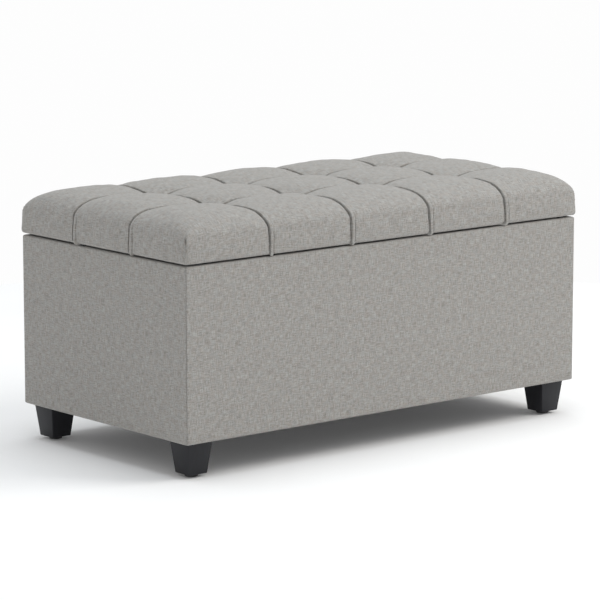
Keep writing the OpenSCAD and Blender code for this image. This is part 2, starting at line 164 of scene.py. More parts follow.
class Graph:
    """One procedural material, with short ways to add and link its nodes."""

    def __init__(self, name, **shader):
        self.material = bpy.data.materials.new(name)
        self.material.use_nodes = True
        self.tree = self.material.node_tree
        self.shader = self.tree.nodes["Principled BSDF"]
        for socket, value in shader.items():
            self.shader.inputs[socket.replace("_", " ")].default_value = value

    def add(self, kind, inputs=None, **settings):
        node = self.tree.nodes.new(kind)
        for key, value in settings.items():
            setattr(node, key, value)
        for key, value in (inputs or {}).items():
            self.feed(node.inputs[key], value)
        return node

    def feed(self, socket, value):
        if isinstance(value, bpy.types.NodeSocket):
            self.tree.links.new(value, socket)
        else:
            socket.default_value = value

    def set(self, name, value):
        self.feed(self.shader.inputs[name], value)

    def math(self, operation, a, b=0.0, c=0.0):
        return self.add("ShaderNodeMath", {0: a, 1: b, 2: c}, operation=operation).outputs[0]

    def noise(self, vector, scale=1.0, detail=2.0, roughness=0.5):
        inputs = {"Vector": vector, "Scale": scale, "Detail": detail, "Roughness": roughness}
        return self.add("ShaderNodeTexNoise", inputs).outputs["Fac"]

    def cells(self, vector, scale):
        inputs = {"Vector": vector, "Scale": scale}
        return self.add("ShaderNodeTexVoronoi", inputs).outputs["Distance"]

    def stretch(self, vector, scale, offset=(0, 0, 0)):
        inputs = {"Vector": vector, "Scale": scale, "Location": offset}
        return self.add("ShaderNodeMapping", inputs).outputs[0]

    def ramp(self, factor, *stops):
        """A colour for each factor, from stops of (position, colour)."""
        node = self.add("ShaderNodeValToRGB", {"Fac": factor})
        for element, (position, colour) in zip(node.color_ramp.elements, stops):
            element.position = position
            element.color = (*colour, 1)
        return node.outputs[0]

    def mix(self, factor, a, b, blend="MIX"):
        node = self.add("ShaderNodeMix", data_type="RGBA", blend_type=blend)
        for key, value in ((MIX_FACTOR, factor), (MIX_A, a), (MIX_B, b)):
            if isinstance(value, tuple):
                value = (*value, 1)
            self.feed(node.inputs[key], value)
        return node.outputs[MIX_RESULT]

    def bump(self, height, distance, strength=1.0):
        inputs = {"Height": height, "Distance": distance, "Strength": strength}
        return self.add("ShaderNodeBump", inputs).outputs[0]

    def place(self):
        return self.add("ShaderNodeTexCoord").outputs["Object"]

    def weave(self):
        return self.add("ShaderNodeUVMap", uv_map=WEAVE).outputs[0]


def srgb(red, green, blue):
    """A display colour, 0 to 255, as the linear colour that shaders take."""
    return tuple(((c / 255 + 0.055) / 1.055) ** 2.4 for c in (red, green, blue))


def grey(level):
    return (level, level, level)


def floor_paint():
    g = Graph("studio_floor", Roughness=0.9, Emission_Strength=FLOOR_GLOW)
    tone = g.noise(g.place(), 3.0)
    g.set("Base Color", g.ramp(tone, (0.3, grey(0.94)), (0.7, grey(0.96))))
    return g.material


THREAD = 1.2 * MM              # pitch of the upholstery's threads
SLUB = 13 * MM                 # length of a thread's thick and thin places
MELANGE_SPREAD = 0.16          # how far to each side of the middle of the noise the fibres' colours run
PATCH_SCALE = 110              # of the tinted patches, per metre
CLOUD_SCALE = 75               # of the broader shading, per metre


def woven(name, dark, light, tint, thread=THREAD, bump=0.18 * MM, **shader):
    """Plain-woven melange cloth of dark and light fibres, multiplied by tint in patches."""
    g = Graph(name, **shader)
    uv = g.weave()
    warp = g.noise(g.stretch(uv, (1 / thread, 1 / SLUB, 1)), detail=3, roughness=0.6)
    weft = g.noise(g.stretch(uv, (1 / SLUB, 1 / thread, 1), (7.3, 2.9, 0)), detail=3, roughness=0.6)
    split = g.add("ShaderNodeSeparateXYZ", {0: uv})
    across = g.math("SINE", g.math("MULTIPLY", split.outputs[0], math.pi / thread))
    along = g.math("SINE", g.math("MULTIPLY", split.outputs[1], math.pi / thread))
    over = g.math("GREATER_THAN", g.math("MULTIPLY", across, along), 0.0)
    picked = g.mix(over, warp, weft)
    cloth = g.ramp(picked, (0.5 - MELANGE_SPREAD, dark), (0.5 + MELANGE_SPREAD, light))
    patch = g.noise(g.stretch(uv, (PATCH_SCALE, PATCH_SCALE, 1)), detail=2)
    tinted = g.mix(1.0, cloth, tint, "MULTIPLY")
    cloth = g.mix(g.ramp(patch, (0.38, BLACK), (0.62, WHITE)), cloth, tinted)
    cloud = g.noise(g.stretch(uv, (CLOUD_SCALE, CLOUD_SCALE, 1), (3.1, 5.7, 0)), detail=3)
    cloth = g.mix(1.0, cloth, g.ramp(cloud, (0.3, grey(0.93)), (0.7, WHITE)), "MULTIPLY")
    g.set("Base Color", cloth)
    g.set("Roughness", g.math("MULTIPLY_ADD", picked, 0.25, 0.72))
    ribs = g.math("ADD", g.math("ABSOLUTE", across), g.math("ABSOLUTE", along))
    height = g.math("ADD", g.math("MULTIPLY", ribs, 0.35), picked)
    g.set("Normal", g.bump(height, bump))
    return g.material


def wood(name, light, dark, ring):
    """Sawn wood whose grain runs along X. ring sets how wide its bands are, in metres."""
    g = Graph(name)
    wave = g.noise(g.stretch(g.place(), (1.6, 40, 40)), 1 / (ring * 160), detail=6, roughness=0.62)
    fibre = g.noise(g.stretch(g.place(), (14, 900, 900)))
    mixed = g.math("MULTIPLY_ADD", fibre, 0.35, g.math("MULTIPLY", wave, 0.65))
    g.set("Base Color", g.ramp(mixed, (0.36, dark), (0.64, light)))
    g.set("Roughness", g.math("MULTIPLY_ADD", fibre, 0.2, 0.45))
    g.set("Normal", g.bump(mixed, 0.3 * MM, 0.6))
    return g.material


def leg_wood():
    """Black stained and lacquered wood, its grain just showing up and down."""
    g = Graph("black_wood", Specular_IOR_Level=0.42)
    fibre = g.noise(g.stretch(g.place(), (420, 420, 14)), detail=4, roughness=0.6)
    g.set("Base Color", g.ramp(fibre, (0.3, (0.004, 0.004, 0.0065)), (0.75, (0.010, 0.0105, 0.015))))
    g.set("Roughness", g.math("MULTIPLY_ADD", fibre, 0.2, 0.36))
    g.set("Normal", g.bump(fibre, 0.2 * MM, 0.35))
    return g.material


def plated_steel():
    """Bright zinc over brushed steel."""
    g = Graph("zinc_steel", Metallic=1.0)
    brush = g.noise(g.stretch(g.place(), (60, 60, 1600)), detail=3)
    cloud = g.noise(g.place(), 180, detail=3)
    g.set("Base Color", g.ramp(cloud, (0.3, (0.50, 0.51, 0.53)), (0.7, (0.66, 0.67, 0.69))))
    g.set("Roughness", g.math("MULTIPLY_ADD", brush, 0.22, 0.22))
    g.set("Normal", g.bump(brush, 0.08 * MM, 0.4))
    return g.material


def moulded(name, colour, roughness):
    """Plastic or rubber with a fine spark-eroded surface."""
    g = Graph(name)
    speck = g.noise(g.place(), 2600)
    lighter = tuple(c * 1.25 + 0.004 for c in colour)
    g.set("Base Color", g.ramp(speck, (0.3, colour), (0.7, lighter)))
    g.set("Roughness", g.math("MULTIPLY_ADD", speck, 0.16, roughness - 0.08))
    g.set("Normal", g.bump(speck, 0.08 * MM, 0.5))
    return g.material


def open_cell_foam():
    g = Graph("foam", Roughness=0.95)
    cells = g.cells(g.place(), 700.0)
    g.set("Base Color", g.ramp(cells, (0.0, (0.62, 0.53, 0.33)), (0.6, (0.86, 0.79, 0.60))))
    g.set("Normal", g.bump(cells, 0.5 * MM, 0.8))
    return g.material


def non_woven():
    """Thin black bonded fibre cloth, as is stapled under furniture."""
    g = Graph("dust_fabric", Roughness=0.92)
    uv = g.weave()
    fibre = g.noise(g.stretch(uv, (900, 900, 1)), detail=5, roughness=0.7)
    height = g.math("MULTIPLY_ADD", g.cells(uv, 480.0), 0.6, fibre)
    g.set("Base Color", g.ramp(height, (0.35, (0.006, 0.006, 0.007)), (1.1, (0.030, 0.030, 0.032))))
    g.set("Normal", g.bump(height, 0.2 * MM, 0.8))
    return g.material


def cord_fibre():
    g = Graph("tie_cord", Roughness=0.8)
    inputs = {"Vector": g.place(), "Scale": 260.0, "Distortion": 2.0}
    lay = g.add("ShaderNodeTexWave", inputs, bands_direction="Z").outputs["Fac"]
    g.set("Base Color", g.ramp(lay, (0.2, (0.55, 0.53, 0.48)), (0.8, (0.80, 0.78, 0.72))))
    g.set("Normal", g.bump(lay, 0.3 * MM, 0.7))
    return g.material


def make_materials():
    """The material of each slot."""
    return {
        "linen_fabric": woven(
            "linen_fabric", srgb(122, 119.5, 114), srgb(182, 182, 180), (1.0, 0.955, 0.925),
            Sheen_Weight=0.25, Sheen_Roughness=0.5, Specular_IOR_Level=0.25,
        ),
        "lining_fabric": woven(
            "lining_fabric", (0.022, 0.022, 0.024), (0.050, 0.050, 0.053), (0.9, 0.9, 0.95),
            thread=0.6 * MM, bump=0.1 * MM, Sheen_Weight=0.15, Specular_IOR_Level=0.3,
        ),
        "dust_fabric": non_woven(),
        "board_wood": wood("board_wood", (0.60, 0.43, 0.25), (0.43, 0.29, 0.15), ring=9 * MM),
        "pine_wood": wood("pine_wood", (0.72, 0.52, 0.29), (0.50, 0.31, 0.14), ring=5 * MM),
        "black_wood": leg_wood(),
        "glide_plastic": moulded("glide_plastic", (0.012, 0.012, 0.013), 0.42),
        "bumper_rubber": moulded("bumper_rubber", (0.030, 0.030, 0.032), 0.75),
        "foam": open_cell_foam(),
        "tie_cord": cord_fibre(),
        "washer_plastic": moulded("washer_plastic", (0.05, 0.05, 0.055), 0.45),
        "zinc_steel": plated_steel(),
    }


# ---------------------------------------------------------------- mesh building

JOINS_PER_M = 1e7              # points are joined if they round to the same ten-millionth of a metre
ROLL_STEPS = 5                 # faces round a rolled edge or corner of cloth


class Patchwork:
    """A mesh put together from grids, joined where they meet, each face with its own cloth coordinates."""

    def __init__(self):
        self.points = []
        self.known = {}
        self.faces = []
        self.cloth = []
        self.flat = {}

    def vertex(self, point):
        key = tuple(int(round(c * JOINS_PER_M)) for c in point)
        if key not in self.known:
            self.known[key] = len(self.points)
            self.points.append(tuple(point))
        return self.known[key]

    def grid(self, points, cloth, flip=False):
        """Adds a grid: points[i, j] is a place and cloth[i, j] its (u, v) on the flat cloth, in metres."""
        rows, columns = points.shape[:2]
        index = np.array([[self.vertex(points[i, j]) for j in range(columns)] for i in range(rows)])
        for place in np.ndindex(rows, columns):
            self.flat[int(index[place])] = cloth[place]
        for i, j in np.ndindex(rows - 1, columns - 1):
            corners = [(i, j), (i + 1, j), (i + 1, j + 1), (i, j + 1)]
            if flip:
                corners.reverse()
            face = [int(index[corner]) for corner in corners]
            if len(set(face)) == len(face):
                self.faces.append(face)
                self.cloth.append([cloth[corner] for corner in corners])

    def mesh(self, name):
        mesh = bpy.data.meshes.new(name)
        mesh.from_pydata(self.points, [], self.faces)
        weave = mesh.uv_layers.new(name=WEAVE)
        weave.data.foreach_set("uv", np.array(self.cloth, float).reshape(-1))
        mesh.update()
        return mesh

    def flat_places(self):
        """Each vertex's (u, v) on the flat cloth."""
        return np.array([self.flat[k] for k in range(len(self.points))])


def read_rows(data, name):
    """A named vector of every element, as rows of three."""
    values = np.zeros(len(data) * 3)
    data.foreach_get(name, values)
    return values.reshape(-1, 3)


def piece(name, mesh, body, slot, replaced):
    """Adds a mesh to the scene as a piece that rides a body, in the slot's material, for a CAD node."""
    thing = bpy.data.objects.new(name, mesh)
    bpy.context.scene.collection.objects.link(thing)
    mesh.materials.clear()
    mesh.materials.append(MATERIALS[slot])
    mesh.polygons.foreach_set("use_smooth", [True] * len(mesh.polygons))
    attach(thing, body)
    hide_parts(replaced)
    return thing


def thicken(thing, thickness):
    """Gives a surface a thickness towards its back."""
    solid = thing.modifiers.new("thickness", "SOLIDIFY")
    solid.thickness = thickness
    solid.offset = -1
    solid.use_even_offset = False
    solid.use_quality_normals = True


def smoothstep(x):
    x = np.clip(x, 0, 1)
    return x * x * (3 - 2 * x)


def bell(off, centre, width):
    return np.exp(-((off - centre) / width) ** 2)


def graded(start, end, centres, fine, coarse, reach):
    """Places from start to end, a fine step apart at the centres and a coarse one beyond reach."""
    places = [start]
    while places[-1] < end:
        near = min(abs(places[-1] - c) for c in centres)
        places.append(places[-1] + fine + (coarse - fine) * min(1, near / reach))
    return (np.array(places) - start) * (end - start) / (places[-1] - start) + start


# ---------------------------------------------------------------- the lid's cushion

LID_LO, LID_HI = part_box("lid_cover")
BOARD_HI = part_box("lid_board")[1]
TIE_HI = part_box("tuft_ties")[1]
TIE_RADIUS = 1.2 * MM
TUFT_X = (TIE_HI.x - TIE_RADIUS) / 3
TUFT_Y = TIE_HI.y - TIE_RADIUS
CREASES_X = [-3 * TUFT_X, -TUFT_X, TUFT_X, 3 * TUFT_X]
CREASES_Y = [-TUFT_Y, TUFT_Y]

# The cushion before it is sewn down
CROWN_REACH = 95 * MM          # how far in from the side the top starts to round over
CROWN_DROP = 38 * MM           # and how far it has dropped where it meets the side
CROWN_POWER_X = 2.3            # of that curve, along each axis: 2 is an ellipse and more is fuller
CROWN_POWER_Y = 2.0
CROWN_STEPS = 2000             # in which its length is measured
CROWN_SLACK = 3.2 * MM         # how far the pillows' crests stay under the full height before they swell
CORNER_BLEND = 2.6             # how the two sides' drops add up at a corner
CORNER_RADIUS = 7 * MM         # of the lid's plan
LEAST_CORNER = 2 * MM          # and the least that it comes down to under the hem
SIDE_LEAN = 1.5 * MM           # how far the top of the side stands in from its foot
HEM_RADIUS = 6 * MM            # of the lid's lower edge
TURN_UNDER = 24 * MM           # cover stapled under the board, beyond the lower edge

# The pillows that the sewing makes
CREASE_DEPTH = 7.0 * MM        # of a sewn crease below the pillows beside it
HEM_DEPTH = 0.6 * MM           # how far the pillows pull in at the lower edge
PILLOW_POWER = 2.5             # of a pillow's section: 2 is round and more is flatter in the middle
CREASE_FADE = 0.85             # the share of a crease's depth that is lost towards the lid's sides,
CREASE_FADE_FROM = 110 * MM    # from this far in over the top
CREASE_FADE_RUN = 95 * MM      # and over this length of cloth
PIT_DEPTH = 19 * MM            # of a tuft below the creases that meet in it
PIT_WIDTH = 28 * MM
PIT_POWER = 1.2                # of its slope: 1 is a point and more is rounder
PIT_STAR = 0.35                # how much narrower a pit is between its creases
PIT_CLEAR = 12 * MM            # how far from a pit's middle the creases are fully folded
PIT_FOLD = 0.3                 # and the share of a fold's depth that is left in its middle
STUFFING_WAVE = 0.6 * MM       # the height of the faint hollows in the pillows

# The folds along the creases
FOLD_DEPTH = 8 * MM            # of the cleft along a crease, under the pillows' skin
SIDE_SHALLOWER = 1.8 * MM      # how much less deep it is on the lid's sides
BOARD_SHALLOWER = 3.6 * MM     # and how much less again where the lid's board is close behind
FOLD_WIDTH = 1.1 * MM
FOLD_NARROWER = 0.35           # the share of the width that is lost on the sides
FOLD_TUCK = 3.4 * MM           # how far the cleft runs in under the cloth lapped over it
TUCK_OFF = 0.2 * MM            # where that is most, off the crease
TUCK_WIDTH = 0.9 * MM
FOLD_STEP = 1.6 * MM           # how much lower the cloth lies on the side that is lapped over
STEP_FADE = 0.6                # the share of that step which is lost on the sides
STEP_REACH = 12 * MM           # how far from the crease the step dies away
SIDE_FROM = 25 * MM            # how far in over the top a fold starts to take its shape for the sides
SIDE_RUN = 40 * MM             # and the length of cloth over which it does
BOARD_FROM = 34 * MM           # how far before the end of the hem's roll the board comes close behind
BOARD_RUN = 16 * MM
PLEAT_SIDE_X = 1               # the side of the creases, along each axis, that their pleats are pressed to
PLEAT_SIDE_Y = -1
PLEAT_WIDTH = 8.0 * MM         # of the pressed pleat beside a crease on the lid's sides
PLEAT_HEIGHT = 1.8 * MM
PLEAT_EDGE = 1.2 * MM          # from the pleat's edge to the bottom of the crack beside it
PLEAT_NUB = 2.4 * MM           # how far its end shows under the lid's lower edge
NUB_FROM = 0.75                # the share of the way down to the hem at which the end starts to hang
CRACK_DEPTH = 1.4 * MM         # of the crack along the pleat's free edge
CRACK_WIDTH = 0.8 * MM
SEAM_FADE = 24 * MM            # how far a corner's seam runs in over the top
SEAM_DEPTH = 5.6 * MM          # of its groove
SEAM_WIDTH = 0.9 * MM
RIDGE_HEIGHT = 1.0 * MM        # of the turned-in cloth beside that seam
RIDGE_OFF = 2.8 * MM
RIDGE_WIDTH = 1.4 * MM
FLAT_RUN = 3 * MM              # the length of cloth over which all the sewing ends at the hem

# The channels that the foam has under the folds
CHANNEL_DEPTH = FOLD_DEPTH + 2 * MM
CHANNEL_OFF = 1.2 * MM         # to the side that the folds run in to
CHANNEL_WIDTH = 4.5 * MM

# The cloth simulation
CLOTH_FRAMES = 20
CLOTH_CAP = 6 * MM             # the furthest that a place may move
HELD_HEM = 9 * MM              # the cloth is held from this far before the end of the hem's roll
HELD_CREASE = 0.5 * MM         # and this near to a crease
CLOTH_SETTINGS = {
    "quality": 8,
    "mass": 0.02,
    "shrink_min": -0.005,      # the cloth is cut this much larger than the shape it is sewn down to
    "tension_stiffness": 15,
    "compression_stiffness": 15,
    "shear_stiffness": 6,
    "bending_stiffness": 0.6,
    "use_pressure": True,
    "uniform_pressure_force": 4.0,
    "vertex_group_mass": "held",
}
SWELL_NEIGHBOURS = 10          # simulated places that a place on the finer cover takes its shift from
SWELL_REACH = 7 * MM           # over which their weight dies away

# The steps of the lid's grids, at the creases and away from them
FINE_REACH = 14 * MM
SIMULATED_STEPS = {"fine": 5 * MM, "coarse": 10 * MM}
COVER_STEPS = {"fine": 0.62 * MM, "coarse": 5 * MM}
FOAM_STEPS = {"fine": 2 * MM, "coarse": 9 * MM}
FOAM_SHRINK = 3.0 * MM         # how far the foam stays behind the cover
COVER_THICKNESS = 0.8 * MM


class Edge:
    """The lid's top along one axis, as stations from shoulder to shoulder.

    A station's arc is its distance from the middle along the cloth, plan its distance in plan, and drop how
    far the crown has fallen there. half and shoulder are the shoulder's own plan and arc."""

    def __init__(self, half, creases, pleat_side, power, fine, coarse, shrink):
        self.creases = creases
        self.half = half - shrink - SIDE_LEAN
        flat = self.half - CROWN_REACH
        turns = np.linspace(0, math.pi / 2, CROWN_STEPS)
        plan = np.concatenate([[0], flat + CROWN_REACH * np.sin(turns) ** (2 / power)])
        drop = np.concatenate([[0], CROWN_DROP * (1 - np.cos(turns) ** (2 / power))])
        arc = np.concatenate([[0], np.cumsum(np.hypot(np.diff(plan), np.diff(drop)))])
        self.shoulder = arc[-1]
        lines = creases + [crease + pleat_side * (PLEAT_WIDTH + PLEAT_EDGE) for crease in creases]
        centres = lines + [-self.shoulder, self.shoulder]
        self.arc = graded(-self.shoulder, self.shoulder, centres, fine, coarse, FINE_REACH)
        for line in lines:
            self.arc[np.argmin(abs(self.arc - line))] = line
        self.plan = np.sign(self.arc) * np.interp(abs(self.arc), arc, plan)
        self.drop = np.interp(abs(self.arc), arc, drop)


def crown_drop(across, along):
    return (across ** CORNER_BLEND + along ** CORNER_BLEND) ** (1 / CORNER_BLEND)


def round_corner(x, y, half_x, half_y, radius):
    """Moves points of a rectangle so that its corners are rounded, leaving the rest."""
    p = np.clip((abs(x) - (half_x - radius)) / radius, 0, 1)
    q = np.clip((abs(y) - (half_y - radius)) / radius, 0, 1)
    both = (p > 0) & (q > 0)
    new_x = np.where(both, np.sign(x) * (half_x - radius + radius * p * np.sqrt(1 - q * q / 2)), x)
    new_y = np.where(both, np.sign(y) * (half_y - radius + radius * q * np.sqrt(1 - p * p / 2)), y)
    return new_x, new_y


def skirt_stations(depth, step):
    """Stations down a side that is depth high and round its hem, and the arc at the end of the hem's roll.

    A station is (inset from the side, height over the foot or None on the side itself, share of the side,
    arc past the shoulder)."""
    side = depth - HEM_RADIUS
    shares = np.linspace(0, 1, max(3, round(side / step) + 1))
    stations = [(0.0, None, share, share * side) for share in shares]
    for k in range(1, ROLL_STEPS + 1):
        turn = math.pi / 2 * k / ROLL_STEPS
        inset = HEM_RADIUS * (1 - math.cos(turn))
        height = HEM_RADIUS * (1 - math.sin(turn))
        stations.append((inset, height, 1.0, side + HEM_RADIUS * turn))
    hem = stations[-1][-1]
    folds = max(2, round(TURN_UNDER / (2 * step)))
    for k in range(1, folds + 1):
        under = TURN_UNDER * k / folds
        stations.append((HEM_RADIUS + under, 0.0, 1.0, hem + under))
    return stations, hem


def side_grid(along_x, along_y, faces_x, sign, stations, top, foot):
    """The places and cloth coordinates of the side that faces along X or Y, the way of sign."""
    run, out = (along_y, along_x) if faces_x else (along_x, along_y)
    rim = top - crown_drop(np.full_like(run.drop, CROWN_DROP), run.drop)
    points = np.zeros((len(stations), len(run.arc), 3))
    cloth = np.zeros((len(stations), len(run.arc), 2))
    for k, (inset, height, share, past) in enumerate(stations):
        inset = inset - SIDE_LEAN * share
        if height is None:
            z = rim + (foot + HEM_RADIUS - rim) * share
        else:
            z = np.full_like(rim, foot + height)
        halves = [out.half - inset, run.half - inset]
        places = [np.full_like(rim, sign * halves[0]), run.plan * halves[1] / run.half]
        flat = [np.full_like(rim, sign * (out.shoulder + past)), run.arc]
        if not faces_x:
            halves.reverse()
            places.reverse()
            flat.reverse()
        x, y = round_corner(*places, *halves, max(CORNER_RADIUS - inset, LEAST_CORNER))
        points[k] = np.stack([x, y, z], axis=-1)
        cloth[k] = np.stack(flat, axis=-1)
    return points, cloth


def cushion(fine, coarse, sewn, shrink=0.0, foot=LID_LO.z, swell=None):
    """The lid's soft surface: the crown, its four sides and the turned hem, with its pillows sewn in.

    sewn is plain, folds for the cloth's own folds and seams, or channels for the foam under them.
    shrink moves the surface inwards all over, and foot is the height of its lower edge. swell gives
    each place on the unsewn surface a further shift, whose inward part is left out.
    Returns the mesh, its unsewn places and the vertices that the sewing and the hem hold."""
    top = LID_HI.z - CROWN_SLACK - shrink
    along_x = Edge(LID_HI.x, CREASES_X, PLEAT_SIDE_X, CROWN_POWER_X, fine, coarse, shrink)
    along_y = Edge(LID_HI.y, CREASES_Y, PLEAT_SIDE_Y, CROWN_POWER_Y, fine, coarse, shrink)
    stations, hem = skirt_stations(top - CROWN_DROP - foot, coarse)

    work = Patchwork()
    plan_x, plan_y = np.meshgrid(along_x.plan, along_y.plan, indexing="ij")
    drop_x, drop_y = np.meshgrid(along_x.drop, along_y.drop, indexing="ij")
    arcs = np.meshgrid(along_x.arc, along_y.arc, indexing="ij")
    x, y = round_corner(plan_x, plan_y, along_x.half, along_y.half, CORNER_RADIUS)
    work.grid(np.stack([x, y, top - crown_drop(drop_x, drop_y)], axis=-1), np.stack(arcs, axis=-1))
    for faces_x in (True, False):
        for sign in (1, -1):
            points, cloth = side_grid(along_x, along_y, faces_x, sign, stations, top, foot)
            work.grid(points, cloth, flip=(sign < 0) == faces_x)

    mesh = work.mesh("cushion")
    unsewn = read_rows(mesh.vertices, "co")
    normal = read_rows(mesh.vertex_normals, "vector")
    flat = work.flat_places()
    place = unsewn.copy()
    if swell is not None:
        moved = swell(unsewn)
        outward = (moved * normal).sum(axis=1)
        place += moved + normal * np.maximum(-outward, 0)[:, None]
    depth, shift = sewing(flat, along_x, along_y, hem, sewn)
    place += shift - normal * depth[:, None]
    mesh.vertices.foreach_set("co", place.reshape(-1))
    mesh.update()
    return mesh, unsewn, held_vertices(flat, along_x, along_y, hem)


def held_vertices(flat, along_x, along_y, hem):
    """The vertices on the creases and those stapled at the hem."""
    arc_x, arc_y = flat[:, 0], flat[:, 1]
    near = [abs(arc_x - line) < HELD_CREASE for line in CREASES_X]
    near += [abs(arc_y - line) < HELD_CREASE for line in CREASES_Y]
    past = np.maximum(abs(arc_x) - along_x.shoulder, abs(arc_y) - along_y.shoulder)
    return np.nonzero(np.logical_or.reduce(near + [past > hem - HELD_HEM]))[0]


def cell_depth(arc, edge, hem, fade):
    """How far the cloth is pulled in by the creases and hem across one axis, before any pit."""
    end = edge.shoulder + hem
    bounds = [-end] + edge.creases + [end]
    pulls = [HEM_DEPTH] + [CREASE_DEPTH] * len(edge.creases) + [HEM_DEPTH]
    depth = np.zeros_like(arc)
    for low, high, pull_low, pull_high in zip(bounds, bounds[1:], pulls, pulls[1:]):
        inside = (arc >= low) & (arc <= high)
        share = 2 * (arc - low) / (high - low) - 1
        pull = np.where(share < 0, pull_low, pull_high)
        pull = np.where(pull > HEM_DEPTH, pull * fade, pull)
        depth = np.where(inside, pull * abs(share) ** PILLOW_POWER, depth)
    return depth


def pits(arc_x, arc_y):
    """(depth of the tufts' pits, 0 in their middles and 1 away from them)."""
    depth = np.zeros_like(arc_x)
    clear = np.ones_like(arc_x)
    for tuft_x in CREASES_X:
        for tuft_y in CREASES_Y:
            off_x, off_y = arc_x - tuft_x, arc_y - tuft_y
            turn = np.arctan2(off_y, off_x)
            reach = np.hypot(off_x, off_y)
            pit = reach * (1 + PIT_STAR * np.sin(2 * turn) ** 2)
            depth += PIT_DEPTH * np.exp(-(pit / PIT_WIDTH) ** PIT_POWER)
            clear *= smoothstep(reach / PIT_CLEAR)
    return depth, clear


def sewing(flat, along_x, along_y, hem, sewn):
    """(depth along the surface's normal, shift in space) that the sewing gives each vertex."""
    arc_x, arc_y = flat[:, 0], flat[:, 1]
    past_x, past_y = abs(arc_x) - along_x.shoulder, abs(arc_y) - along_y.shoulder
    past = np.maximum(past_x, past_y)
    on_side = smoothstep((past + SIDE_FROM) / SIDE_RUN)
    on_board = smoothstep((past - hem + BOARD_FROM) / BOARD_RUN)
    fade = 1 - CREASE_FADE * smoothstep((past + CREASE_FADE_FROM) / CREASE_FADE_RUN)
    deep_x = cell_depth(arc_x, along_x, hem, fade)
    deep_y = cell_depth(arc_y, along_y, hem, fade)
    pit_depth, clear = pits(arc_x, arc_y)
    depth = deep_x + deep_y - deep_x * deep_y / CREASE_DEPTH + pit_depth
    shift = np.zeros((len(depth), 3))
    axes = (
        (0, arc_x, CREASES_X, PLEAT_SIDE_X, past_y),
        (1, arc_y, CREASES_Y, PLEAT_SIDE_Y, past_x),
    )
    for axis, arc, lines, side, past_end in axes:
        for off in [arc - line for line in lines]:
            if sewn == "folds":
                depth += fold_depth(off, side * off, on_side, on_board) * (PIT_FOLD + (1 - PIT_FOLD) * clear)
                shift[:, axis] += FOLD_TUCK * bell(off, TUCK_OFF, TUCK_WIDTH) * clear
                # not on the back side, where a pleat's end would hang into the hinge
                hangs = (past_end > hem * NUB_FROM) & (arc_y < along_y.shoulder)
                shift[:, 2] -= PLEAT_NUB * pleat(side * off) * hangs
            elif sewn == "channels":
                depth += CHANNEL_DEPTH * bell(off, CHANNEL_OFF, CHANNEL_WIDTH)
    if sewn == "folds":
        depth += corner_seam(past_x, past_y) + uneven_stuffing(arc_x, arc_y)
    above_hem = 1 - smoothstep((past - hem + FLAT_RUN) / FLAT_RUN)
    shift[:, :2] *= above_hem[:, None]
    return depth * above_hem, shift


def pleat(off):
    """1 over the width of the pleat lapped beside a crease, 0 beyond it."""
    rise = smoothstep((off - 0.6 * MM) / (1.2 * MM))
    return rise * smoothstep((PLEAT_WIDTH + 0.4 * MM - off) / (0.8 * MM))


def fold_depth(off, pressed, on_side, on_board):
    """The depth of a crease's fold, by how far a place is off the crease and off it to its pleat's side.

    It is a narrow cleft with the cloth lapped over it from one side, and a pressed pleat on the lid's
    sides. The cleft is shallow where the lid's board is close behind the cover."""
    deep = FOLD_DEPTH - SIDE_SHALLOWER * on_side - BOARD_SHALLOWER * on_board
    cleft = deep * bell(off, 0, FOLD_WIDTH * (1 - FOLD_NARROWER * on_side))
    lapped = np.where(off < 0, np.exp(off / STEP_REACH), 0)
    step = FOLD_STEP * (1 - STEP_FADE * on_side) * lapped
    crack = CRACK_DEPTH * bell(pressed - PLEAT_WIDTH, PLEAT_EDGE, CRACK_WIDTH)
    return cleft + step + (crack - PLEAT_HEIGHT * pleat(pressed)) * on_side


def corner_seam(past_x, past_y):
    """The upright seam at each corner, which fades out just over the lid's top."""
    on_top = (past_x <= 0) & (past_y <= 0)
    inward = -(past_x + past_y) / 2
    off = np.where(on_top, abs(past_x - past_y) / math.sqrt(2), -np.minimum(past_x, past_y))
    strength = np.where(on_top, smoothstep(1 - inward / SEAM_FADE), 1.0)
    groove = SEAM_DEPTH * bell(off, 0, SEAM_WIDTH)
    ridge = RIDGE_HEIGHT * bell(off, RIDGE_OFF, RIDGE_WIDTH)
    return (groove - ridge) * strength


def uneven_stuffing(arc_x, arc_y):
    """Faint broad hollows, as hand-laid stuffing leaves them. The waves' numbers are per metre."""
    across = np.sin(41 * arc_x + 2.1 * np.sin(29 * arc_y))
    along = np.sin(53 * arc_y + 1.7 * np.sin(23 * arc_x))
    fine_across = np.sin(97 * arc_x + 3 * np.sin(61 * arc_y) + 1)
    fine_along = np.sin(83 * arc_y + 2 * np.sin(71 * arc_x))
    return STUFFING_WAVE * (across * along + 0.4 * fine_across * fine_along)


